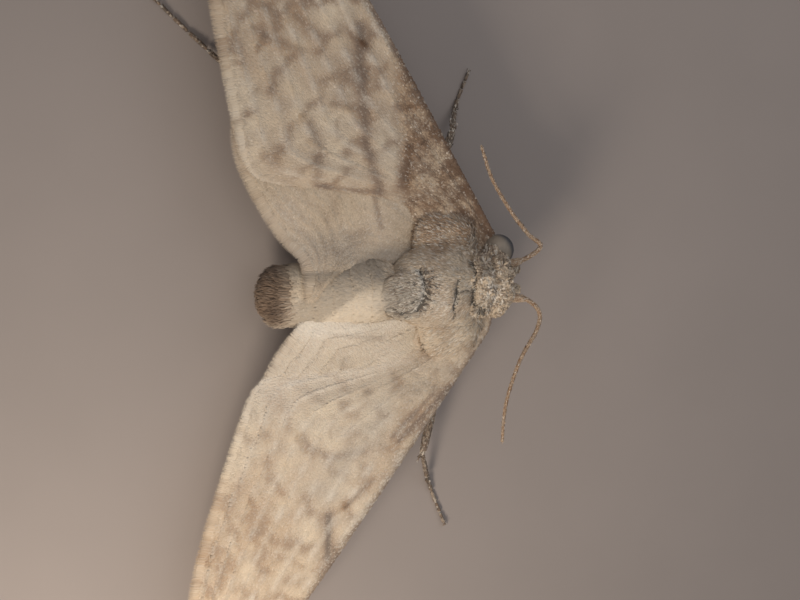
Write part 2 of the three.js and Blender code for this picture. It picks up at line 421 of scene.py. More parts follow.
blades = {
    "fur": blade("furBlade", [(0.3, 0.42, 0.5, 0.1), (0.72, 0.4, 0.5, 0.16)], 0.1),
    "scale": blade("scaleBlade", [(0.28, 0.4, 0.4, 0.06), (0.86, 0.5, 0.4, 0.04)]),
    "kite": blade("kiteBlade", [(0.74, 0.5, 0.6, 0.02)]),
    "thread": blade("threadBlade", [(0.45, 0.5, 0.6, 0.04)]),
}

scatter = {                               # how scales differ: shares of their own size and turn
    "turn": 1.0, "tilt": 0.4, "reach": (0.72, 1.05), "breadth": (0.7, 1.15),
    "patch": 0.003,                       # each scale's share of its ground's UV map
}
coatPlan = ("lie", "reach", "breadth", "cover", "rise", "rootUV", "along", "across")


def coatTree():
    group, asked, tree, given = newGroup("scaleCoat", {
        "Ground": "Geometry", "Blade": "Object", "Density": "Float", "Thickness": "Float",
        "Rise": "Float", "Unrest": "Float", "Seed": "Int", "Material": "Material"}, "Coat")

    def named(name, kind="FLOAT"):
        return tree.node("GeometryNodeInputNamedAttribute", {"data_type": kind}, {"Name": name})

    def random(low, high, turn):
        return tree.node("FunctionNodeRandomValue", {"data_type": "FLOAT"},
                         {"Min": low, "Max": high, "Seed": given.out("Seed") + turn})

    roots = tree.node("GeometryNodeDistributePointsOnFaces", {"distribute_method": "RANDOM"},
                      {"Mesh": given.out("Ground"), "Seed": given.out("Seed"),
                       "Density": named("cover") * given.out("Density")})
    upright = tree.node("FunctionNodeAxesToRotation", {"primary_axis": "Z", "secondary_axis": "X"},
                        {"Primary Axis": roots.out("Normal"), "Secondary Axis": named("lie", "FLOAT_VECTOR")})
    unrest, turn, tilt = given.out("Unrest"), scatter["turn"], scatter["tilt"]
    wander = tree.node("ShaderNodeCombineXYZ", {}, {
        "X": random(-turn, turn, 1) * unrest,
        "Y": random(-tilt, tilt, 2) * unrest - given.out("Rise") * named("rise"),
        "Z": random(-turn, turn, 3) * unrest,
    })
    lean = tree.node("FunctionNodeEulerToRotation", {}, {"Euler": wander})
    turned = tree.node("FunctionNodeRotateRotation", {"rotation_space": "LOCAL"},
                       {"Rotation": upright, "Rotate By": lean})
    size = tree.node("ShaderNodeCombineXYZ", {}, {
        "X": named("reach") * random(*scatter["reach"], 4),
        "Y": named("breadth") * random(*scatter["breadth"], 5),
        "Z": given.out("Thickness"),
    })
    shaded = tree.node("GeometryNodeStoreNamedAttribute", {"data_type": "FLOAT", "domain": "POINT"},
                       {"Geometry": roots, "Name": "shade", "Value": random(0.0, 1.0, 6)})
    form = tree.node("GeometryNodeObjectInfo", {}, {"Object": given.out("Blade"), "As Instance": True},
                     "Geometry")
    placed = tree.node("GeometryNodeInstanceOnPoints", {}, {
        "Points": shaded, "Instance": form, "Rotation": turned, "Scale": size})
    solid = tree.node("GeometryNodeRealizeInstances", {}, {"Geometry": placed})
    patch = tree.node("ShaderNodeCombineXYZ", {}, {
        "X": named("along") * scatter["patch"], "Y": named("across") * scatter["patch"]})
    spot = tree.node("ShaderNodeVectorMath", {"operation": "ADD"},
                     {0: named("rootUV", "FLOAT_VECTOR"), 1: patch})
    mapped = tree.node("GeometryNodeStoreNamedAttribute", {"data_type": "FLOAT2", "domain": "CORNER"},
                       {"Geometry": solid, "Name": "OFBake", "Value": spot})
    endGroup(tree, given, mapped, "Coat")
    return group, asked


coatGroup, coatInputs = coatTree()


# A coat says its blade's form, its thickness, how far it stands off and how uneven it is.
def growCoat(name, ground, coat, seed):
    mesh = grown(ground, coatGroup, coatInputs, {
        "Blade": blades[coat["form"]], "Density": coatShare, "Thickness": coat["thickness"],
        "Rise": coat["rise"], "Unrest": coat["unrest"], "Seed": seed, "Material": coatFinish})
    for key in coatPlan:
        if key in mesh.attributes:
            mesh.attributes.remove(mesh.attributes[key])
    finishPiece(mesh, name, coatFinish, smooth=False)


# A ground's own unwrap, which its scales take their places from.
def unwrapped(ground):
    ground.data.uv_layers.new(name="rootUV")
    bpy.context.view_layer.objects.active = ground
    ground.select_set(True)
    bpy.ops.object.mode_set(mode="EDIT")
    bpy.ops.mesh.select_all(action="SELECT")
    bpy.ops.uv.smart_project(angle_limit=math.radians(66), island_margin=0.004)
    bpy.ops.object.mode_set(mode="OBJECT")
    ground.select_set(False)
    return ground


print("scales and finishes ready")


# the body: one skin for chest, head, abdomen and the roots of legs and palps

flesh = {
    "voxel": 0.036, "smoothing": 12, "evened": 0.5, "pathSteps": 200, "thinnest": 0.03,
    "legStub": {"top": 1.7, "half": (0.17, 0.17), "around": 24},
    "chest": {"front": (1.05, 0, 2.28), "back": (-1.35, 0, 2.1), "half": (1.05, 0.96), "coat": 0.1},
    "collar": {"front": (1.42, 0, 2.36), "back": (0.45, 0, 2.32), "half": (0.86, 0.84), "coat": 0.09},
    "head": {"front": (1.86, 0.07, 2.3), "back": (0.84, 0.05, 2.4), "half": (0.92, 0.75), "coat": 0.1},
    "crest": {"front": (-0.35, -0.1, 2.88), "back": (-1.64, -0.16, 2.5), "half": (0.62, 0.3), "coat": 0.08},
    "abdomen": {"spine": [(-0.8, 0, 2.05), (-2.2, 0, 1.8), (-3.4, 0, 1.55), (-4.45, 0, 1.43)],
                "half": (0.84, 0.76), "coat": 0.07, "rings": 0.48, "ringStep": 0.016},
    "tegula": {"front": (1.05, 0.86, 2.18), "back": (-0.62, 1.12, 2.02), "half": (0.84, 0.42), "coat": 0.05,
               "under": 0.35},
    "palp": {"spine": [(1.55, 0.24, 1.92), (1.9, 0.28, 1.84), (2.2, 0.28, 1.86)],
             "half": (0.15, 0.15), "coat": 0.02},
    "eyes": {"left": (1.55, 0.8, 2.3), "right": (1.44, -0.5, 2.1)}, "eyeRadius": 0.38,
    "cracks": [[(0.24, 0.18), (0.18, -0.05), (0.19, -0.3), (0.12, -0.45), (0.18, -0.7)],
               [(0.7, 0.85), (0.73, 0.5), (0.74, 0.25), (0.69, 0.02), (0.655, -0.2), (0.65, -0.42),
                (0.74, -0.52)],
               [(0.18, -0.11), (0.44, -0.1), (0.6, -0.12)]],
    "pits": [(0.93, 0.93, 0.13), (1.08, 1.05, 0.08), (0.9, -0.58, 0.11)],
    # the line along the abdomen's left flank where its painted shade lies
    "shadedFlank": [(-0.9, 0.95), (-1.4, 0.8), (-2.2, 0.38), (-2.9, -0.1), (-3.4, -0.5)],
    "crestEdge": [(-1.4, -0.42), (-0.95, -0.58)],
    "crackDepth": 0.1, "pitDepth": 0.12, "partingDepth": 0.06,
    "arc": {"centre": (-1.54, 0.1), "radius": 0.93, "ends": (-0.5, 0.52)},
}


# A rounded form along its spine, drawn in by the depth of its coat.
def fleshForm(part, side=1, steps=36, around=40, power=2.6):
    spine = np.array(part.get("spine", [part.get("back"), part.get("front")]), float) * [1, side, 1]
    turn = np.linspace(0, math.pi, steps)
    stops = (1 - np.cos(turn)) / 2
    dense = curveThrough(spine, flesh["pathSteps"])
    even = np.linspace(0, 1, len(dense))
    path = np.stack([np.interp(stops, even, dense[:, axis]) for axis in range(3)], 1)
    path = path - unit(path[-1] - path[0]) * (2 * stops[:, None] - 1) * part["coat"]
    full = np.sqrt(1 - np.abs(np.cos(turn)) ** power)
    half = np.array(part["half"]) - part["coat"]
    points, faces = roundAlong(path, flesh["thinnest"] + full[:, None] * half, around)
    if "under" in part:                   # flatter below its spine
        level = np.interp(points[:, 0], spine[:, 0], spine[:, 2])
        lower = level + (points[:, 2] - level) * part["under"]
        points[:, 2] = np.where(points[:, 2] < level, lower, points[:, 2])
    return points, faces


def makeSkin():
    forms, stub = [fleshForm(flesh[name]) for name in ("chest", "collar", "head", "crest")], flesh["legStub"]
    forms.append(fleshForm(flesh["abdomen"], steps=80, power=5))
    for side in sides.values():
        forms += [fleshForm(flesh[name], side) for name in ("tegula", "palp")]
        forms += [fleshForm({"spine": [(*root[:2], stub["top"]), root, knee], "half": stub["half"],
                             "coat": 0.0}, side, around=stub["around"]) for root, knee in legRoots.values()]
    rough = inScene(newMesh("bodyForms", *joined(forms)))
    remesh = rough.modifiers.new("skin", "REMESH")
    remesh.mode, remesh.voxel_size = "VOXEL", flesh["voxel"]
    relax = rough.modifiers.new("relax", "SMOOTH")
    relax.factor, relax.iterations = flesh["evened"], flesh["smoothing"]
    mesh = evaluated(rough)
    bpy.data.objects.remove(rough)
    points = readPoints(mesh)
    points += readPoints(mesh, normals=True) * fleshRelief(points)[:, None]
    mesh.vertices.foreach_set("co", points.ravel().astype(np.float32))
    mesh.update()
    return mesh


def crackMask(points, width):
    x, y, z = points.T
    *across, link = flesh["cracks"]
    swell = width * (0.62 + 0.55 * bump(y, -0.22, 0.26))
    lines = [nearness(x, y + 0.03 * np.sin(x * 40), line, swell) for line in across]
    lines.append(nearness(x, y, link, width * 0.7) * 0.6)
    return np.max(lines, axis=0) * ease(z, 2.55, 2.8)


# How far each point lies beyond the curved parting between chest and crest, and where that parting runs.
def beyondArc(points):
    arc = flesh["arc"]
    return np.hypot(points[:, 0] - arc["centre"][0], points[:, 1] - arc["centre"][1]) - arc["radius"]


def arcSpan(points):
    first, last = flesh["arc"]["ends"]
    x, y, z = points.T
    within = ease(y, first - 0.05, first + 0.05) * (1 - ease(y, last - 0.05, last + 0.05))
    return within * ease(x, -1.1, -0.95) * ease(z, 2.5, 2.7)


def pitMask(points):
    x, y, z = points.T
    pits = sum(np.exp(-(((x - px) ** 2 + (y - py) ** 2) / size**2)) for px, py, size in flesh["pits"])
    return pits * ease(z, 2.2, 2.6)


# How far the skin stands out or in: rings on the abdomen, cracks, pits and the parting on the chest.
def fleshRelief(points):
    x, abdomen = points[:, 0], flesh["abdomen"]
    onRings = ease(-x, 1.3, 1.6)
    phase = ((-1.3 - x) / abdomen["rings"]) % 1
    rings = (ease(phase, 0, 0.75) - ease(phase, 0.82, 1.0)) * onRings * (1 - ease(-x, 4.1, 4.4))
    relief = (rings - 0.5) * abdomen["ringStep"] * onRings
    relief -= flesh["crackDepth"] * crackMask(points, 0.045) + flesh["pitDepth"] * pitMask(points)
    relief -= flesh["partingDepth"] * bump(beyondArc(points), 0, 0.04) * arcSpan(points)
    return relief + 0.02 * mottle(points, 0.45, 3) * ease(x, -1.2, 0.8)


legRoots = {
    "fore": ((1.0, 0.42, 1.45), (1.25, 0.62, 1.15)),
    "mid": ((0.35, 0.45, 1.45), (0.31, 0.85, 1.12)),
    "hind": ((-0.5, 0.45, 1.45), (-0.68, 0.85, 1.02)),
}


hair = {                                  # reach and breadth of the hairs, in the order they are laid
    "reach": {"chest": 0.17, "shield": 0.12, "head": 0.13, "abdomen": 0.17, "tail": 0.38},
    "breadth": {"chest": 0.034, "head": 0.055, "abdomen": 0.07, "tail": 0.04, "shield": 0.042},
    "cover": 1250, "abdomenCover": 0.62, "tailCover": 1.3,
    "cheek": 0.06, "tegulaEdge": 0.08, "atCracks": -0.1, "atParting": -0.05,
}


# Which part of the body each point is on, as shares from 0 to 1.
def bodyRegions(points, normals):
    x, y, z = points.T
    beside = ease(np.abs(y - 0.05), 0.95, 1.1) * (1 - ease(x, 1.2, 1.35))
    head = ease(x, 0.74, 0.88) * (1 - beside)
    abdomen, tail = ease(-x, 1.25, 1.5), ease(-x, 3.45, 3.9)
    shield = np.exp(-(((x + 1.14) / 0.5) ** 4 + ((y + 0.13) / 0.52) ** 4)) * ease(z, 2.35, 2.6)
    beyond, spanned = beyondArc(points), arcSpan(points)
    return SimpleNamespace(
        top=ease(normals[:, 2], -0.1, 0.5), head=head, abdomen=abdomen, tail=tail, shield=shield,
        tegula=ease(np.abs(y), 0.72, 0.95) * ease(x, -0.8, -0.55) * (1 - head),
        chest=(1 - head) * (1 - abdomen) * (1 - shield),
        # the strip along the abdomen's left flank, where painted shade is laid
        strip=ease(nearness(x, y, flesh["shadedFlank"], 0.42), 0.25, 0.6) * abdomen * (1 - tail),
        crack=crackMask(points, 0.052), pit=pitMask(points),
        beyond=beyond, spanned=spanned, arc=bump(beyond, 0, 0.048) * spanned)


def bodyMarks(points, on):
    x, y, z = points.T
    cloud, speck, fine = mottle(points, 0.8, 11), mottle(points, 0.16, 12), mottle(points, 0.085, 13)
    centreX, centreY = flesh["arc"]["centre"]
    spokes = 0.5 + 0.5 * np.sin(np.arctan2(y - centreY, x - centreX) * 42 + 1.5 * np.sin(x * 9))
    behind = bump(on.beyond, 0.15, 0.09) * on.spanned * spokes
    before = bump(on.beyond, -0.06, 0.035) * on.spanned
    dotted = bump(on.beyond, -0.17, 0.07) * on.shield
    lit = bump(x, 1.12, 0.26) * bump(y, -0.22, 0.3) * on.head * on.top
    glow = bump(x, -0.1, 0.3) * bump(y, -0.35, 0.4) * on.top * (1 - on.shield)
    tailSpot = np.exp(-((x + 3.95) ** 2 + (y + 0.42) ** 2) / 0.3**2) * on.tail

    ochre = on.chest * (0.36 + 0.2 * cloud) * on.top * (0.75 + 0.25 * ease(y, -0.6, 0.6))
    ochre += 0.2 * (1 - on.top) * (1 - on.abdomen) + 0.42 * on.tegula * ease(y, -0.5, 0.5)
    ochre += 0.12 * glow + on.tail * 0.7 + on.head * 0.16

    ash = 0.1 * on.chest * (1 - 0.8 * on.tegula) + on.shield * 0.7 + on.head * 0.06
    # the ash along the abdomen's left flank strip is painted shade
    ash += 0.25 * on.abdomen * (1 - on.top) + 0.45 * on.strip
    ash *= 1 - on.arc

    umber = 0.06 + 0.1 * on.chest * ease(speck, 0, 1.2) * ease(y, -1.2, 0.3)
    umber += on.head * (0.25 + 0.3 * ease(y, 0.1, 0.8)) + behind * 0.9
    umber += on.tegula * (0.06 + 0.18 * ease(speck, 0, 1) + 0.14 * ease(y, 0.95, 1.4)) * ease(y, -0.3, 0.8)
    umber += on.tegula * 0.12 * ease(fine + speck, 0.5, 1.5) * ease(-y, 0.3, 0.8)
    # painted shade: the abdomen darker on its left half and along its left flank, the side turned from the
    # light
    umber += on.strip * 0.12 + on.abdomen * 0.14 * ease(y, 0.1, 0.6) + on.shield * 0.16
    # on the tail, the umber that rises towards its left side is painted shade
    umber += on.tail * (0.25 + 0.42 * ease(y, -0.6, 0.1) + 0.15 * bump(y, -0.3, 0.2))
    umber += 0.4 * tailSpot + 0.7 * on.arc

    ink = 0.02 + on.crack * 1.3 + on.pit * 1.2 + on.arc * 1.2 + behind * 0.7
    # the tail's ink, darker towards its left side, is painted shade
    ink += on.head * on.top * 0.34 * ease(0.5 * fine + speck, 0.3, 1.1) + on.tail * 0.1 * ease(y, -0.4, 0.2)
    ink += on.shield * 0.18 * ease(speck, 0.1, 0.9) + dotted * 0.5 * ease(fine, -0.2, 0.6)
    ink += 0.5 * nearness(x, y, flesh["crestEdge"], 0.09) * ease(z, 2.3, 2.5)
    ink = ink * (1 - 0.6 * lit) + 0.25 * tailSpot

    pale = on.head * on.top * 0.25 * ease(-fine - 0.3 * speck, 0, 0.8)
    pale += on.shield * 0.12 * ease(x, -1.3, -0.8) + on.chest * on.top * 0.16
    # painted light: the abdomen paler on its right half, the side facing the light
    pale += 0.22 * on.abdomen * (1 - on.tail) * (1 - on.strip) * ease(-y, -0.2, 0.2) + 0.06
    pale += 0.25 * glow + lit * 0.7 * ease(-fine, -0.5, 0.4) + before * 0.5
    # painted highlight along the tail's right edge, which faces the light
    pale += on.tail * 0.4 * bump(y, -0.82, 0.16)
    return {"ochre": ochre, "ash": ash, "umber": umber, "ink": ink, "pale": pale,
            "grain": 0.55 - 0.45 * on.abdomen}


# Which way the hairs point, along the skin.
def bodyLie(points, normals, on):
    x, y, z = points.T

    def heading(ahead, aside, up):
        return np.stack(np.broadcast_arrays(ahead, aside, up, x)[:3], 1)

    centreX, centreY = flesh["arc"]["centre"]
    fan = unit(heading(x - centreX, y - centreY, 0))
    tossed = heading(0.3 + 0.6 * mottle(points, 0.4, 21), 0.5 * y + 0.9 * mottle(points, 0.4, 22),
                     0.4 * mottle(points, 0.4, 23))
    face = ease(x, 1.86, 1.95)
    lie = heading(-1, 0.35 * y, -0.1)
    for other, share in (
        (fan, (ease(on.beyond, -0.01, 0.01) - ease(on.beyond, 0.16, 0.34)) * on.spanned),
        (tossed, on.head * ease(z, 2.2, 2.5)),
        (heading(0.25, np.sign(y), -0.25), on.head * ease(np.abs(y), 0.45, 0.7) * ease(z, 1.9, 2.2)),
        (heading(1, 0, -0.15), face),
        (heading(0.2, 0, -1), on.head * (1 - ease(z, 2.0, 2.3)) * (1 - face)),
    ):
        lie = blend(lie, other, share)
    lie = lie + heading(0, 0.15 * mottle(points, 0.3, 31), 0)
    return unit(lie - normals * np.sum(lie * normals, 1)[:, None])


def bodyHair(points, on):
    x, y, z = points.T
    torn = np.maximum(crackMask(points + [-0.08, 0, 0], 0.08), crackMask(points, 0.07))
    extra = {
        "chest": hair["atCracks"] * torn,
        "shield": hair["atParting"] * bump(on.beyond, 0, 0.08) * on.spanned,
        "head": hair["cheek"] * on.head * ease(np.abs(y - 0.06), 0.55, 0.8) * ease(z, 2.2, 2.5)
        + hair["tegulaEdge"] * on.tegula * ease(np.abs(y), 1.2, 1.6),
    }
    laid = {}
    for key in ("reach", "breadth"):
        laid[key] = 0 * x
        for region, value in hair[key].items():
            share = 1 if region == "chest" else vars(on)[region]
            laid[key] = blend(laid[key], value, share) + (extra.get(region, 0) if key == "reach" else 0)
    bare = np.maximum(ease(np.maximum(on.crack, on.arc), 0.3, 0.7), 0.8 * ease(on.pit, 0.5, 0.9))
    for centre in flesh["eyes"].values():
        depth = flesh["eyeRadius"] - np.linalg.norm(points - centre, axis=1)
        bare = np.maximum(bare, ease(depth, -0.01, 0.02))
    even = 1.0 + 0 * x
    thinner = blend(even, hair["abdomenCover"], on.abdomen) * blend(even, hair["tailCover"], on.tail)
    rise = 1 + 0.4 * on.head * on.top + 0.5 * on.tail - 0.3 * on.abdomen
    return {**laid, "cover": hair["cover"] * (1 - bare) * thinner, "rise": rise}


# What the skin carries at each point: its marks, and how its hairs grow there.
def bodyValues(points, normals):
    on = bodyRegions(points, normals)
    marks = {key: np.clip(value, 0, 1) for key, value in bodyMarks(points, on).items()}
    return {**marks, "lie": bodyLie(points, normals, on), **bodyHair(points, on)}


bodyCoats = {
    "coatHead": {"slot": "head_scales", "from": 0.76, "to": 9.0, "form": "scale", "rise": 0.24,
                 "unrest": 0.35, "thickness": 0.012},
    "coatChest": {"slot": "thorax_scales", "from": -0.45, "to": 0.76, "form": "fur", "rise": 0.2,
                  "unrest": 0.22, "thickness": 0.012},
    "coatShield": {"slot": "crest_scales", "from": -1.5, "to": -0.45, "form": "fur", "rise": 0.2,
                   "unrest": 0.25, "thickness": 0.014},
    "coatAbdomen": {"slot": "abdomen_scales", "from": -3.7, "to": -1.5, "form": "scale", "rise": 0.13,
                    "unrest": 0.16, "thickness": 0.012},
    "coatTail": {"slot": "tail_scales", "from": -9.0, "to": -3.7, "form": "fur", "rise": 0.25,
                 "unrest": 0.25, "thickness": 0.014},
}
coatOverlap = 0.05


def makeBody():
    skin = makeSkin()
    points, normals = readPoints(skin), readPoints(skin, normals=True)
    print(f"skin: {len(points)} points")
    values = bodyValues(points, normals)
    corners = np.split(cornerPoints(skin), np.cumsum([face.loop_total for face in skin.polygons])[:-1])
    x = points[:, 0] + 0.04 * mottle(points, 0.3, 41)
    for seed, (name, coat) in enumerate(bodyCoats.items(), 1):
        kept = (x >= coat["from"] - coatOverlap) & (x <= coat["to"] + coatOverlap)
        faces = [face for face in corners if kept[face].all()]
        used = np.unique(np.concatenate(faces))
        place = np.zeros(len(points), int)
        place[used] = np.arange(len(used))
        ground = newMesh(name + "Ground", points[used], [place[face] for face in faces],
                         {key: value[used] for key, value in values.items()})
        growCoat(name, unwrapped(inScene(ground)), coat, seed)
    for mark in skinMarks:
        setValues(skin, mark, values[mark])
    finishPiece(skin, "mothSkin", skinFinish, (
        "thorax", "collar", "crest", "head", "abdomen", "tail_tuft",
        *(f"{part}_{side}" for part in ("tegula", "palp") for side in sides)))


makeBody()


# the wings: thin sheets with a coat above and below and a fringe along the free margins

wingForm = {
    "thickness": 0.03, "fringe": 0.34, "innerFringe": 0.07,
    "veins": 8, "veinHeight": 0.022, "foldDepth": 0.03,
    "alongSteps": 150, "chordSteps": 54,
}
foreWing = {
    "height": 2.34, "tipDrop": 0.34, "hindDrop": 0.03, "length": 11.3, "rise": -0.04, "camber": -0.16,
    "overHind": {"left": 0.045, "right": 0.005}, "foldFrom": {"left": -0.9, "right": -1.7},
    "leading": [(-0.6, -0.45), (-0.15, -0.66), (0.6, -0.71), (7.4, -0.77), (9.6, -0.58), (11.05, -0.02)],
    "trailing": [(-0.1, 0.95), (0.9, 0.92), (1.75, 0.98), (2.95, 2.42), (3.8, 3.55), (4.3, 3.84),
                 (5.0, 3.77), (7.0, 3.1), (8.6, 2.5), (9.9, 1.82), (10.8, 1.05), (11.3, 0.35)],
    "fringeFrom": (0.33, 0.5), "relief": 0.8, "fringeRelief": 0.6,
}
hindWing = {
    "hinge": (-0.45, 1.0), "height": 1.76, "drop": 0.1, "rise": 0.22, "overBack": 0.1,
    "onBack": {"left": 1.0, "right": 0.55}, "shoulder": 0.6,
    "leading": [(-0.4, 0.05), (0.15, 1.15), (2.0, 3.0), (4.1, 3.75)],
    "outer": [(3.15, -0.2), (3.62, 0.38), (4.2, 1.4), (4.62, 2.5), (4.62, 3.4)],
    "fringeFrom": (0.3, 0.5), "relief": 0.3, "fringeRelief": 0.25,
}
held = {
    "left": {"hinge": (0.78, 1.0), "sweep": 116.3, "chord": 1.01, "reach": 0.97,
             "inner": [(0.15, -0.3), (1.2, -0.38), (1.95, -0.42), (2.45, -0.72), (2.8, -1.15),
                       (3.08, -1.05)]},
    "right": {"hinge": (0.62, -0.9), "sweep": 128.9, "chord": 0.9, "reach": 1.05,
              "inner": [(0.15, -0.3), (1.5, -0.34), (2.4, -0.4), (2.98, -0.5)]},
}
wingCoat = {
    "form": "kite", "thickness": 0.01, "rise": 0.07, "unrest": 0.07, "reach": 0.12,
    "Upper": {"breadth": 0.06, "cover": 900, "marks": 1.0},
    "Under": {"breadth": 0.09, "cover": 360, "marks": 0.6},
}
fringeCoat = {
    "form": "thread", "thickness": 0.008, "rise": -0.02, "unrest": 0.1,
    "breadth": 0.03, "cover": 4200, "shortest": 0.08, "rootsFrom": 0.45,
}


# The wing's two margins, the free one drawn in by the fringe; its own outline is kept beside it.
def wingMargins(leading, trailing, fringeFrom):
    count = wingForm["alongSteps"]
    steps = np.linspace(0, 1, count)
    lead, outline = curveThrough(leading, count), curveThrough(trailing, count)
    tangent = unit(np.gradient(outline, axis=0))
    inward = np.stack([tangent[:, 1], -tangent[:, 0]], 1)
    inward = inward * np.sign(np.sum(inward * (lead - outline), 1).sum())
    depth = blend(wingForm["innerFringe"], wingForm["fringe"], ease(steps, *fringeFrom))
    margin = outline + inward * (depth * ease(steps, 0.02, 0.1))[:, None]
    tip = ease(steps, 0.93, 1.0)[:, None]
    return lead - tip * (lead[-1] - margin[-1]) * 0.75, margin, outline


def foreMargins(side):                    # the same on either side
    return wingMargins(foreWing["leading"], foreWing["trailing"], foreWing["fringeFrom"])


def hindMargins(side):
    reach = np.array([held[side]["reach"], 1])
    trailing = [*held[side]["inner"], *(np.array(hindWing["outer"]) * reach)]
    return wingMargins(np.array(hindWing["leading"]) * reach, trailing, hindWing["fringeFrom"])


def hindLevel(x):
    return hindWing["height"] + hindWing["rise"] - hindWing["drop"] * ease(-x, 0.6, 3.4)


# The fore wing's inner margin comes down to lie on the hind wing.
def foreWingPlace(side, flat):
    pose, turn = held[side], math.radians(held[side]["sweep"])
    u, v = flat[..., 0], flat[..., 1] * held[side]["chord"]
    x = pose["hinge"][0] + u * math.cos(turn) - v * math.sin(turn)
    y = pose["hinge"][1] + sides[side] * (u * math.sin(turn) + v * math.cos(turn))
    z = foreWing["height"] - foreWing["tipDrop"] * np.maximum(u / foreWing["length"], 0) ** 1.5
    z = z - foreWing["hindDrop"] * np.maximum(flat[..., 1] / 4, 0) ** 2
    z = z + foreWing["rise"] + foreWing["camber"] * ease(flat[..., 1], -0.7, 1.6)
    inner = np.array(foreWing["trailing"][1:6])
    close = ease(flat[..., 1] - np.interp(flat[..., 0], inner[:, 0], inner[:, 1]),
                 foreWing["foldFrom"][side], -0.05)
    close = close * ease(flat[..., 0], 0.7, 1.3) * (1 - ease(flat[..., 0], 4.0, 5.2))
    return np.stack([x, y, z + (hindLevel(x) + foreWing["overHind"][side] - z) * close], -1)


# How high the abdomen's back is there; past its shoulder a wing leaves it.
def backLevel(x, y):
    abdomen = flesh["abdomen"]
    spine = curveThrough(abdomen["spine"], 60)
    across = np.minimum(np.abs(y), hindWing["shoulder"]) / abdomen["half"][0]
    return np.interp(-x, -spine[:, 0], spine[:, 2]) + abdomen["half"][1] * np.sqrt(1 - across**2)


def hindWingPlace(side, flat):
    back, out = flat[..., 0], flat[..., 1]
    x = hindWing["hinge"][0] - back
    y = sides[side] * (hindWing["hinge"][1] + out)
    level = hindLevel(x)
    near = (1 - ease(np.abs(y), 0.35, 1.75)) * (1 - ease(x, -2.7, -1.35)) * hindWing["onBack"][side]
    return np.stack([x, y, level + (backLevel(x, y) + hindWing["overBack"] - level) * near], -1)


def veinPhase(span, chord):
    return chord * wingForm["veins"] + 0.35 * np.sin(span * 5)


def wingRelief(span, chord, share):
    phase = veinPhase(span, chord)
    ridge = bump(phase % 1, 0.5, 0.11) * ease(span, 0.1, 0.4)
    fold = np.cos(phase * math.tau) * 0.5 * ease(span, 0.15, 0.6)
    stem = bump(chord, 0.03, 0.05) * 1.6 + bump(chord, 0.16, 0.025) + bump(chord, 0.55, 0.02) * (1 - span)
    calm = 1 - 0.85 * ease(chord, 0.75, 0.97) * (1 - ease(span, 0.35, 0.5))
    return share * calm * (wingForm["veinHeight"] * (ridge + stem) - wingForm["foldDepth"] * fold * 0.5)


def cloudy(u, v, size, seed):
    return mottle(np.stack([u, v], -1), size, seed)


# The pattern of a fore wing: cross lines with their strength, strokes with width and strength.
crossLines = [(0.9, 0.25), (1.7, 0.3), (2.75, 0.35), (3.5, 0.28), (4.4, 0.3), (5.6, 0.35), (6.5, 0.42),
              (7.15, 0.3), (8.1, 0.3), (8.8, 0.42), (9.7, 0.3), (10.4, 0.35)]
ownStrokes = {
    "left": [
        ([(1.65, 1.55), (2.2, 1.2), (3.3, 1.0), (4.1, 0.6), (4.9, 0.35)], 0.11, 0.75),
        ([(2.0, 0.65), (2.8, 0.1)], 0.1, 0.6),
        ([(2.2, 1.2), (2.6, 1.8), (3.1, 2.45)], 0.07, 0.45),
        ([(3.3, 2.4), (3.9, 2.0), (4.5, 1.95)], 0.1, 0.5),
        ([(4.1, 0.6), (4.6, 1.2)], 0.1, 0.5), ([(5.1, 0.4), (5.2, 1.2)], 0.1, 0.45),
        ([(6.2, 0.75), (6.9, 0.95)], 0.1, 0.5), ([(6.1, 1.3), (6.9, 1.85)], 0.1, 0.4),
        ([(7.2, 1.3), (7.7, 1.7)], 0.1, 0.4),
    ],
    "right": [
        ([(1.5, -0.7), (3.4, -0.35)], 0.07, 0.8), ([(2.0, -0.4), (3.4, -0.15)], 0.06, 0.6),
        ([(4.55, -0.35), (5.5, -0.15)], 0.06, 0.6),
        ([(4.1, 0.3), (4.7, 1.0), (4.75, 1.6), (4.6, 1.95)], 0.08, 0.45),
        ([(5.1, 2.75), (5.15, 2.85)], 0.1, 0.5), ([(2.8, 1.05), (2.85, 1.15)], 0.08, 0.5),
        ([(7.9, 0.65), (7.95, 0.75)], 0.1, 0.4), ([(7.2, 1.45), (7.25, 1.55)], 0.1, 0.4),
    ],
}
discalSpot = {
    "left": [(4.75, 0.3), (5.1, 0.2), (5.9, -0.25)],
    "right": [(5.9, 0.1), (6.3, -0.2), (6.8, -0.55)],
}


# The same on the hind wing, back from its hinge and out from it.
hindStrokes = {
    "left": [([(1.0, 1.4), (0.86, 0.6)], 0.06, 0.55), ([(1.3, 0.5), (1.6, 0.35)], 0.2, 0.2),
             ([(2.0, 0.0), (2.3, 0.25)], 0.2, 0.15), ([(2.9, 0.0), (3.1, 0.2)], 0.2, 0.15),
             ([(2.2, 0.9), (1.9, 1.5), (1.75, 2.2)], 0.16, 0.15)],
    "right": [([(2.83, -0.1), (1.9, 0.12), (1.0, 0.27)], 0.05, 0.4),
              ([(2.0, 0.75), (2.05, 0.85)], 0.14, 0.3)],
}
hindLines = [(0.3, 0.2), (0.47, 0.3), (0.62, 0.35), (0.76, 0.3), (0.88, 0.35)]


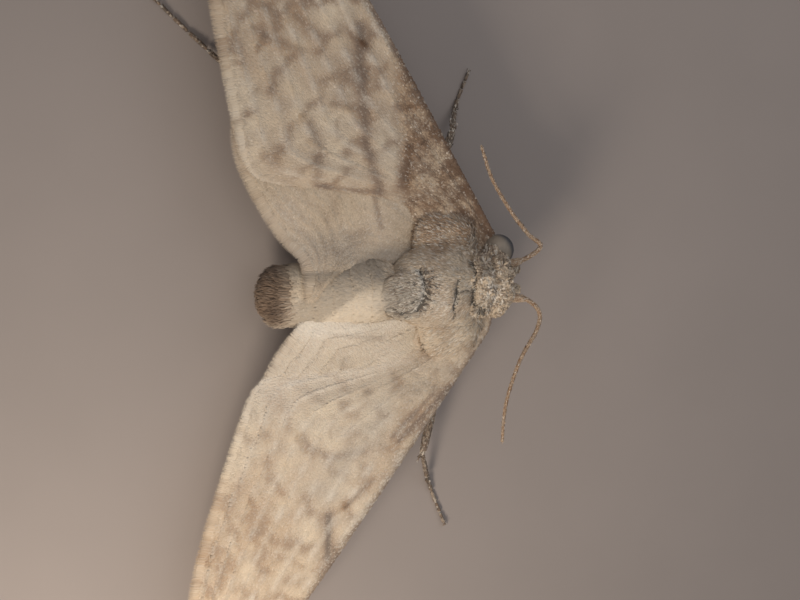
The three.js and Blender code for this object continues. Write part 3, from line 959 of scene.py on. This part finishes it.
def foreWingMarks(side, u, v, span, chord):
    veins = veinPhase(span, chord) * math.tau
    cloud, patch, speck = cloudy(u, v, 2.2, 51), cloudy(u, v, 0.8, 52), cloudy(u, v, 0.22, 53)
    onLeft = float(side == "left")
    onRight = 1 - onLeft
    ochre = 0.22 + 0.14 * cloud + 0.1 * patch
    umber = 0.05 + 0.05 * np.maximum(speck, 0) + onLeft * (0.04 + 0.05 * np.maximum(cloudy(u, v, 1.1, 58), 0))
    wave = 0.5 * ease(v, -0.7, 0.8) - 0.55 * ease(v, 1.0, 3.4) + 0.2 * cloudy(u, v, 0.9, 55)
    wave += (0.07 + 0.05 * patch) * np.cos(veins)
    broken = ease(cloudy(u, v, 0.7, 56), -1.2, 0.6)
    for start, strength in crossLines:
        near = bump(u, start + wave, 0.2 - 0.03 * onLeft) * broken * strength
        umber += near * (0.7 + 0.6 * onLeft)
        ochre += near * (1.6 + 0.2 * onLeft)
    for centre in (0.8, 1.55, 2.4):       # long streaks on the outer half
        ochre += 0.32 * bump(v, centre + 0.12 * np.sin(u * 2.1), 0.22) * ease(u, 3.6, 6.5)
    for stroke, width, strength in ownStrokes[side]:
        umber += nearness(u, v, stroke, width) * strength
        ochre += nearness(u, v, stroke, width * 2) * strength * 0.9
    spot = nearness(u, v, discalSpot[side], 0.09 + 0.04 * onLeft)
    halo = nearness(u, v, discalSpot[side], 0.24 + 0.12 * onLeft)
    costa = 1 - ease(v, -0.72, -0.35 - 0.1 * ease(u, 0, 3))
    umber += 0.3 * halo + 0.6 * spot + costa * (0.28 + 0.25 * ease(cloudy(u, v, 0.5, 54), 0, 1.2))

    rootEdge, rootShare = 1.77 - 0.49 * u, 1.0 if onLeft else 0.25
    root = (1 - ease(v, rootEdge - 0.3, rootEdge + 0.12)) * rootShare
    rootLine = bump(v, rootEdge, 0.07) * ease(u, 1.0, 1.6) * rootShare
    shoulder = (1 - ease(u, 0.4, 1.5)) * (1 - ease(v, -0.45, 0.1)) * (0.35 + 0.65 * onLeft)
    umber += root * (0.3 + 0.12 * speck + 0.08 * patch) + rootLine * 0.25
    umber += 0.35 * shoulder * (1 + 0.4 * speck)
    ochre += 0.5 * halo + root * 0.3 + onRight * 0.1 * ease(u, 4, 8)
    ink = 0.02 + (0.3 - 0.2 * onLeft) * spot + root * 0.08 * ease(speck, 0.2, 1.2) + costa * 0.05
    ash = 0.1 + 0.3 * nearness(u, v, [(3.0, 0.4), (4.2, 0.5), (5.6, 0.7)], 0.4) * (1 - 0.5 * onLeft)
    ash += 0.1 * patch + 0.14 * onLeft * (1 - ease(u, 2.0, 5.0))
    pale = 0.14 + 0.25 * np.maximum(-np.cos(veins), 0) * ease(u, 1.5, 4) * (0.5 + 0.5 * patch)
    pale = (pale + onRight * 0.08 * (1 - ease(u, 5, 8))) * (1 - 0.7 * root)

    # painted light: the right fore wing paler where it slopes down onto the hind wing, lifting the shade that
    # falls there
    paintedSlopeLight = ease(chord, 0.6, 0.95) * (1 - ease(span, 0.38, 0.5)) * ease(u, 1.2, 1.9) * onRight
    pale += 0.3 * paintedSlopeLight
    umber, ash, ochre = umber * (1 - 0.7 * paintedSlopeLight), ash * (1 - 0.8 * paintedSlopeLight), ochre + 0.16 * paintedSlopeLight
    edge = ease(chord, 0.955, 0.985) * ease(span, 0.35, 0.45)
    umber += edge * ease(np.cos(span * 150), -0.2, 0.6) * 0.2 + 0.45 * (1 - ease(chord, 0.006, 0.03))
    return {"ochre": ochre, "ash": ash, "umber": umber, "ink": ink, "pale": pale,
            "grain": 0.16 + 0.24 * np.maximum(root, costa * 0.5)}


def hindWingMarks(side, u, v, span, chord):
    cloud, speck = cloudy(u, v, 1.4, 61), cloudy(u, v, 0.22, 62)
    onLeft = float(side == "left")
    umber = 0.04 + 0.04 * np.maximum(speck, 0) + onLeft * (0.05 + 0.05 * np.maximum(cloud, 0))
    ochre = 0.2 + 0.12 * cloud + 0.08 * onLeft
    for stroke, width, strength in hindStrokes[side]:
        near = nearness(u, v, stroke, width) * strength
        umber += near
        ochre += near * 0.6
    for place, strength in hindLines:
        near = bump(chord, place + 0.012 * np.cos(span * 75), 0.022) * strength
        umber += near * 0.3
        ochre += near * 0.5
    root = (1 - ease(u, 0.3, 1.2)) * onLeft
    edge = ease(chord, 0.955, 0.985) * ease(span, 0.3, 0.4)
    umber += edge * ease(np.cos(span * 110), -0.2, 0.6) * 0.2 + root * 0.15
    # on the right hind wing, the extra pale along its inner edge by the abdomen is painted light
    pale = 0.32 - 0.16 * onLeft + 0.1 * cloud + (1 - onLeft) * 0.3 * ease(-v, -0.25, 0.1)
    return {"ochre": ochre, "ash": 0.12 + 0.12 * root, "umber": umber, "ink": 0.02, "pale": pale,
            "grain": 0.2}


# The faces of a grid of points, all turned up or all turned down.
def gridFaces(points, up=True):
    rows, columns = points.shape[:2]
    at = np.arange(rows * columns).reshape(rows, columns)
    faces = np.stack([part.ravel() for part in (at[:-1, :-1], at[:-1, 1:], at[1:, 1:], at[1:, :-1])], 1)
    a, b, c = (points.reshape(-1, 3)[faces[:, corner]] for corner in range(3))
    looksUp = np.cross(b - a, c - a)[:, 2].sum() > 0
    return faces if looksUp == up else faces[:, ::-1]


def setUv(mesh, name, spots):
    layer = mesh.uv_layers.new(name=name)
    layer.data.foreach_set("uv", np.asarray(spots, np.float32)[cornerPoints(mesh)].ravel())


# A closed thin sheet: the grid above, the same below, and a rim round both.
def closedSheet(name, top, bottom, values):
    rows, columns = top.shape[:2]
    count = rows * columns
    faces, at = gridFaces(top), np.arange(count).reshape(rows, columns)
    ring = np.concatenate([at[0, :-1], at[:-1, -1], at[-1, :0:-1], at[:0:-1, 0]])
    rim = [(a, b, b + count, a + count) for a, b in zip(ring, np.roll(ring, -1))]
    mesh = newMesh(name, np.vstack([top.reshape(-1, 3), bottom.reshape(-1, 3)]),
                   [*faces, *(faces[:, ::-1] + count), *rim],
                   {key: np.tile(value.ravel(), 2) for key, value in values.items()})
    turnOutward(mesh)
    return mesh


wings = {
    "fore": {"form": foreWing, "margins": foreMargins, "place": foreWingPlace, "marks": foreWingMarks,
             "seed": 10},
    "hind": {"form": hindWing, "margins": hindMargins, "place": hindWingPlace, "marks": hindWingMarks,
             "seed": 20},
}


def shownMarks(marks, shape):
    return {key: np.clip(np.broadcast_to(value, shape), 0, 1) for key, value in marks.items()}


def makeWing(kind, side, seed):
    wing, name, slot = wings[kind], f"{kind}Wing{side.capitalize()}", "wing_scales"
    lead, margin, outline = wing["margins"](side)
    span, chord = np.broadcast_arrays(np.linspace(0, 1, len(lead))[None, :],
                                      np.linspace(0, 1, wingForm["chordSteps"])[:, None])
    flat = blend(lead[None], margin[None], chord)
    middle = wing["place"](side, flat)
    middle[..., 2] += wingRelief(span, chord, wing["form"]["relief"])
    half = wingForm["thickness"] / 2 * (1 - 0.7 * ease(chord, 0.9, 1.0))
    up = np.array([0, 0, 1.0])
    top, bottom = middle + up * half[..., None], middle - up * half[..., None]
    marks = shownMarks(wing["marks"](side, flat[..., 0], flat[..., 1], span, chord), span.shape)
    finishPiece(closedSheet(name, top, bottom, marks), name, skinFinish, (f"{kind}wing_{side}",))

    alongSpan = unit(np.gradient(middle, axis=1))
    alongChord = unit(np.gradient(middle, axis=0))
    lie = alongSpan * (1 - 0.45 * ease(chord, 0.5, 1.0))[..., None] if kind == "fore" else alongChord
    lie = unit(lie + alongChord * (0.1 + 0.5 * ease(chord, 0.3, 1.0))[..., None]).reshape(-1, 3)
    spots = flat.reshape(-1, 2)
    spots = (spots - spots.min(0)) / (np.ptp(spots, axis=0).max() * 1.02) + 0.004
    for layer, points in (("Upper", top), ("Under", bottom)):
        coat = wingCoat[layer]
        values = {**{key: (value * coat["marks"]).ravel() for key, value in marks.items()}, "lie": lie,
                  "reach": wingCoat["reach"], "breadth": coat["breadth"], "cover": coat["cover"], "rise": 1}
        mesh = newMesh(name + layer, points.reshape(-1, 3), gridFaces(points, layer == "Upper"), values)
        setUv(mesh, "rootUV", spots)
        growCoat(f"{name}{layer}Coat", inScene(mesh), wingCoat, seed)

    share = np.linspace(0, 1, 3)[:, None]
    flat = blend((margin + (margin - outline) * fringeCoat["rootsFrom"])[None], margin[None], share)
    span = np.broadcast_to(np.linspace(0, 1, len(margin)), flat.shape[:2])
    points = wing["place"](side, flat)
    points[..., 2] += wingRelief(span, np.ones_like(span), wing["form"]["fringeRelief"])
    away = wing["place"](side, np.broadcast_to(outline, flat.shape)) - points
    marks = wing["marks"](side, flat[..., 0], flat[..., 1], span, np.full(span.shape, 0.9))
    marks["umber"] = marks["umber"] * 0.5 + 0.06 * ease(np.cos(span * 150), -0.3, 0.5)
    marks = {key: value.ravel() for key, value in shownMarks({**marks, "ink": 0}, span.shape).items()}
    reach = np.maximum(np.linalg.norm(away, axis=-1), fringeCoat["shortest"]).ravel()
    values = {**marks, "lie": unit(away).reshape(-1, 3), "reach": reach, "breadth": fringeCoat["breadth"],
              "cover": fringeCoat["cover"], "rise": 1}
    mesh = newMesh(name + "Edge", points.reshape(-1, 3), gridFaces(points), values)
    spots = np.stack([span, np.broadcast_to(share * 0.1 + 0.01, span.shape)], -1).reshape(-1, 2)
    setUv(mesh, "rootUV", spots * 0.99)
    growCoat(f"{name}Fringe", inScene(mesh), fringeCoat, seed + 40)


for turn, side in enumerate(sides):
    for kind, wing in wings.items():
        makeWing(kind, side, wing["seed"] + turn)


# eyes: a ball of six-sided lenses

eyes = {
    # the eye's light and dark colours are lit and shaded copies: each eye is painted darker towards its
    # forward, lower, outer side
    "splits": 5, "lens": 0.007, "lensShare": 0.72, "shadedSide": (0.8, 0.25, -0.45),
    "light": tint(0.58, 0.53, 0.47), "dark": tint(0.22, 0.24, 0.27),
}


def plainFinish(name, colourOf, roughness, gloss):
    return newMaterial(name, lambda tree: {"Base Color": colourOf(tree), "Roughness": roughness,
                                           "Coat Weight": gloss, "Coat Roughness": 0.15})


# painted shade: the lens colour darkens towards the eye's shaded side
def eyeColour(tree):
    return tree.mixed(tree.attribute("dusk"), eyes["light"], eyes["dark"])


def hornColour(tree):
    cloud = tree.pattern("Noise", 0.12, "Fac", Detail=3.0)
    return tree.mixed(cloud, tint(0.45, 0.34, 0.26), tint(0.66, 0.53, 0.41))


eyeFinish = plainFinish("eyeLenses", eyeColour, 0.35, 0.35)
hornFinish = plainFinish("paleHorn", hornColour, 0.5, 0.1)


def eyeTree():
    group, asked, tree, given = newGroup("eyeLenses", {
        "Radius": "Float", "Splits": "Int", "Lens Height": "Float", "Lens Share": "Float",
        "Centre": "Vector", "Material": "Material"}, "Eye")
    ball = tree.node("GeometryNodeMeshIcoSphere", {}, {"Radius": given.out("Radius"),
                                                       "Subdivisions": given.out("Splits")})
    cells = tree.node("GeometryNodeDualMesh", {}, {"Mesh": ball})
    raised = tree.node("GeometryNodeExtrudeMesh", {"mode": "FACES"}, {
        "Mesh": cells, "Offset Scale": given.out("Lens Height"), "Individual": True})
    lenses = tree.node("GeometryNodeScaleElements", {"domain": "FACE"}, {
        "Geometry": raised, "Selection": raised.out("Top"), "Scale": given.out("Lens Share")})
    placed = tree.node("GeometryNodeTransform", {}, {"Geometry": lenses, "Translation": given.out("Centre")})
    endGroup(tree, given, placed, "Eye")
    return group, asked


def makeEyes():
    group, asked = eyeTree()
    for side, centre in flesh["eyes"].items():
        mesh = grown(inScene(bpy.data.meshes.new("eyeMaker")), group, asked, {
            "Radius": flesh["eyeRadius"], "Splits": eyes["splits"], "Lens Height": eyes["lens"],
            "Lens Share": eyes["lensShare"], "Centre": centre, "Material": eyeFinish})
        # painted shade: how far each point of the eye faces its shaded side
        shadedSide = unit(np.array(eyes["shadedSide"]) * [1, sides[side], 1])
        setValues(mesh, "dusk", ease(unit(readPoints(mesh) - centre) @ shadedSide, -0.2, 0.4))
        finishPiece(mesh, f"eye{side.capitalize()}", eyeFinish, (f"eye_{side}",))


# feelers: a stout base, then a thread of short rings

feeler = {
    "root": (1.6, 0.4, 2.5), "steps": 420, "rings": 56, "scape": 0.11, "thread": (0.058, 0.034), "around": 12,
    "left": [(2.18, 0.54, 2.52), (2.62, 0.82, 2.44), (2.28, 1.18, 2.46), (1.84, 1.8, 2.48),
             (1.44, 2.6, 2.42), (1.24, 3.4, 2.34)],
    "right": [(2.16, -0.5, 2.52), (2.5, -0.86, 2.44), (2.4, -1.3, 2.46), (1.9, -2.05, 2.48),
              (1.5, -3.1, 2.42), (1.37, -4.1, 2.34)],
    "marks": {"ochre": 0.7, "umber": 0.2, "pale": 0.15, "grain": 0.35},
    "coat": {"reach": 0.07, "breadth": 0.035, "cover": 1100, "seed": 61},
}
limbCoat = {"form": "kite", "thickness": 0.01, "rise": 0.08, "unrest": 0.3, "clearOfFloor": (0.1, 0.14)}


# Scales all round a closed form that follows a path, but none where a foot meets the floor.
def coatAlong(name, points, faces, lie, marks, coat):
    cover = coat["cover"] * ease(points[:, 2], *limbCoat["clearOfFloor"])
    values = {**{key: marks.get(key, 0) for key in skinMarks}, "lie": lie, "reach": coat["reach"],
              "breadth": coat["breadth"], "cover": cover, "rise": 1}
    ground = unwrapped(inScene(newMesh(name + "Ground", points, faces, values)))
    growCoat(name, ground, limbCoat, coat["seed"])


def pathLie(path, around):
    tangent = unit(np.gradient(path, axis=0))
    return np.vstack([np.repeat(tangent, around, axis=0), tangent[:1], tangent[-1:]])


def makeFeelers():
    gone = np.linspace(0, 1, feeler["steps"])
    rings = 0.86 + 0.14 * np.abs(np.sin(gone * feeler["rings"] * math.pi)) ** 0.6
    swell = 0.55 + 0.45 * np.sin(np.clip(gone / 0.11, 0, 1) * math.pi) ** 0.5
    radius = np.maximum(blend(*feeler["thread"], gone) * rings,
                        feeler["scape"] * (1 - ease(gone, 0.1, 0.13)) * swell)
    radius = radius * np.minimum(1, (1 - gone) * 60 + 0.25)
    for side, sign in sides.items():
        root = np.array(feeler["root"]) * [1, sign, 1]
        path = curveThrough([root, *feeler[side]], feeler["steps"])
        points, faces = roundAlong(path, np.stack([radius, radius], 1), feeler["around"])
        name = f"feeler{side.capitalize()}"
        finishPiece(newMesh(name, points, faces), name, hornFinish,
                    (f"antenna_base_{side}", f"antenna_{side}"))
        coatAlong(name + "Coat", points, faces, pathLie(path, feeler["around"]), feeler["marks"],
                  feeler["coat"])


# legs: thigh, shin with spurs, five foot joints and two claws

leg = {
    "root": (0.13, 0.16, 0.12), "thigh": (0.12, 0.16, 0.1), "shin": (0.08, 0.11, 0.09),
    "foot": (0.065, 0.045), "footSteps": 60, "jointEnds": (0, 0.42, 0.6, 0.75, 0.88, 1.0),
    "footRise": 0.085, "landing": 0.45,
    "claw": 0.09, "clawSpread": 0.06, "clawTip": 0.02, "clawRadii": (0.018, 0.013, 0.005),
    "spur": 0.34, "spurSpread": 0.35, "spurDroop": 0.2, "spurRadii": (0.028, 0.03, 0.008),
    "spurs": {"fore": (0.95,), "mid": (0.96,), "hind": (0.55, 0.97)},
    "coat": {"reach": 0.1, "breadth": 0.042, "cover": 560, "seed": 70},
}
stance = {
    "left": {"fore": [(1.68, 1.22, 0.92), (1.12, 1.95, 0.5), (0.98, 3.15, 0)],
             "mid": [(0.32, 2.5, 1.2), (1.0, 3.85, 0.7), (1.72, 5.35, 0)],
             "hind": [(-1.95, 2.6, 0.92), (-4.15, 5.2, 0.55), (-6.5, 7.7, 0)]},
    "right": {"fore": [(1.6, -1.2, 0.92), (0.98, -1.9, 0.5), (0.5, -3.0, 0)],
              "mid": [(0.1, -2.6, 1.22), (-0.32, -4.5, 0.75), (0.35, -6.6, 0)],
              "hind": [(-1.9, -2.7, 0.92), (-3.7, -5.6, 0.55), (-4.6, -8.3, 0)]},
}


limbAround, jointAround = 14, 10          # points round the long forms and round the small ones


def limb(start, end, radii, steps=26, around=limbAround, bend=0):
    middle = (np.array(start, float) + end) / 2 + bend
    path = curveThrough([start, middle, end], steps)
    gone = np.linspace(0, 1, steps)
    radius = np.interp(gone, np.linspace(0, 1, len(radii)), radii)
    radius = radius * np.sqrt(np.clip(1 - np.abs(2 * gone - 1) ** 14, 0.04, 1))
    points, faces = roundAlong(path, np.stack([radius, radius], 1), around)
    return points, faces, pathLie(path, around)


# Root, thigh and shin, the foot's joints, then on either hand a claw and the shin's spurs.
def legForms(side, pair):
    knee, ankle, toe = (np.array(joint, float) for joint in stance[side][pair])
    root, hip = (np.array(joint) * [1, sides[side], 1] for joint in legRoots[pair])
    landing = ankle + (toe - ankle) * leg["landing"]
    landing[2] = toe[2] = leg["footRise"]
    forms = [limb(root, hip, leg["root"]), limb(hip, knee, leg["thigh"]), limb(knee, ankle, leg["shin"])]
    foot = curveThrough([ankle, landing, toe], leg["footSteps"] + 1)
    ends = (np.array(leg["jointEnds"]) * leg["footSteps"]).astype(int)
    for first, last, wide in zip(ends, ends[1:], np.linspace(*leg["foot"], len(ends))):
        forms.append(limb(foot[first], foot[last], (wide * 0.8, wide * 0.85, wide), 12, jointAround))
    along, shin = unit(toe - landing), unit(ankle - knee)
    aside = np.cross([0, 0, 1], along)
    for hand in (-1, 1):
        tip = toe + along * leg["claw"] + aside * hand * leg["clawSpread"]
        tip[2] -= leg["footRise"] - leg["clawTip"]
        forms.append(limb(toe, tip, leg["clawRadii"], 8, 6, (0, 0, 0.02)))
        for place in leg["spurs"][pair]:
            start = knee + (ankle - knee) * place
            away = shin + aside * hand * leg["spurSpread"] - [0, 0, leg["spurDroop"]]
            tip = start + away * leg["spur"] * (0.85 + 0.15 * hand)
            forms.append(limb(start, tip, leg["spurRadii"], 12, 8))
    return forms


# The pale end of a form, worked out from how many points go round it.
def endBand(form, around):
    count = len(form[0])
    rows = max((count - 2) // around, 1)
    return ease(np.repeat(np.linspace(0, 1, rows), count // rows + 1)[:count], 0.8, 0.95)


def makeLegs():
    for side in sides:
        for pair in stance[side]:
            forms = legForms(side, pair)
            points, faces = joined([form[:2] for form in forms])
            band = np.concatenate([endBand(form, limbAround if number < 3 else jointAround)
                                   for number, form in enumerate(forms)])
            name = f"leg{pair.capitalize()}{side.capitalize()}"
            marks = {"ochre": 0.4, "ash": 0.4, "umber": 0.62 - 0.5 * band, "ink": 0.3 - 0.25 * band,
                     "pale": 0.08 + 0.5 * band, "grain": 0.5}
            finishPiece(newMesh(name, points, faces, marks), name, skinFinish,
                        tuple(f"{pair}_{part}_{side}" for part in ("femur", "tibia", "tarsus")))
            lie = np.vstack([form[2] for form in forms])
            coatAlong(name + "Coat", points, faces, lie, marks, leg["coat"])


# the tongue, rolled up under the face between the palps

tongue = {"centre": (1.8, 1.68), "turns": 2.4, "reach": (0.2, 0.06), "radius": (0.045, 0.02),
          "steps": 120, "around": 8}


def makeTongue():
    turn = np.linspace(0, tongue["turns"] * math.tau, tongue["steps"])
    share = turn / turn[-1]
    out, radius = blend(*tongue["reach"], share), blend(*tongue["radius"], share)
    x, z = tongue["centre"][0] + out * np.cos(turn), tongue["centre"][1] + out * np.sin(turn)
    path = np.stack([x, 0.02 * np.sin(share * 3), z], 1)
    sizes = np.stack([radius, radius], 1)
    mesh = newMesh("tongue", *roundAlong(path, sizes, tongue["around"], across=np.array([0.0, 1.0, 0.0])))
    turnOutward(mesh)
    finishPiece(mesh, "tongue", hornFinish)


makeEyes()
makeFeelers()
makeLegs()
makeTongue()


# floor, light and camera

plaster = {"reach": 400, "clouds": 6.0, "detail": 4.0, "roughness": 0.9,
           "dark": tint(0.58, 0.545, 0.525), "light": tint(0.63, 0.59, 0.57)}


def floorPaint(tree):
    cloud = tree.pattern("Noise", plaster["clouds"], "Fac", Detail=plaster["detail"])
    return {"Base Color": tree.mixed(cloud, plaster["dark"], plaster["light"]),
            "Roughness": plaster["roughness"]}


def makeStage():
    reach = plaster["reach"] * mm
    corners = [(-reach, -reach, 0), (reach, -reach, 0), (reach, reach, 0), (-reach, reach, 0)]
    floor = inScene(newMesh("floor", corners, [(0, 1, 2, 3)]))
    floor.data.materials.append(newMaterial("palePlaster", floorPaint))


lamps = {
    "warmKey": {"at": (-14, -15, 15), "size": 7, "watts": 0.0038, "colour": (1.0, 0.88, 0.74)},
    "coolFill": {"at": (30, 30, 44), "size": 40, "watts": 0.006, "colour": (0.9, 0.94, 1.0)},
    "softTop": {"at": (-4, 4, 60), "size": 40, "watts": 0.0065, "colour": (1.0, 0.95, 0.9)},
}
room = {"aim": (0, 0, 2), "Color": (0.9, 0.9, 0.95, 1), "Strength": 0.2}


def makeLights():
    target = zero + Vector(room["aim"]) * mm
    for name, lamp in lamps.items():
        light = bpy.data.lights.new(name, "AREA")
        light.size, light.energy, light.color = lamp["size"] * mm, lamp["watts"], lamp["colour"]
        stand = bpy.data.objects.new(name, light)
        stand.location = zero + Vector(lamp["at"]) * mm
        stand.rotation_euler = (target - stand.location).to_track_quat("-Z", "Y").to_euler()
        scene.collection.objects.link(stand)
    world = bpy.data.worlds.new("softRoom")
    world.use_nodes = True
    for key in ("Color", "Strength"):
        world.node_tree.nodes["Background"].inputs[key].default_value = room[key]
    scene.world = world


view = {"turns": (-3.4, -14.5, -6.0), "at": (-10.332, 3.631, 38.081), "lens": 67.5, "sensor": 36}


def makeCamera():
    yaw, pitch, roll = (math.radians(turn) for turn in view["turns"])
    lens = bpy.data.cameras.new("camera")
    lens.lens, lens.sensor_width = view["lens"], view["sensor"]
    lens.clip_start, lens.clip_end = 1 * mm, 2
    camera = bpy.data.objects.new("camera", lens)
    turned = Matrix.Rotation(pitch, 4, "Y") @ Matrix.Rotation(roll, 4, "X") @ Matrix.Rotation(yaw, 4, "Z")
    camera.matrix_world = Matrix.Translation(zero + Vector(view["at"]) * mm) @ turned
    scene.collection.objects.link(camera)
    scene.camera = camera


makeStage()
makeLights()
makeCamera()

for tool in blades.values():
    bpy.data.objects.remove(tool)

print("moth ready")
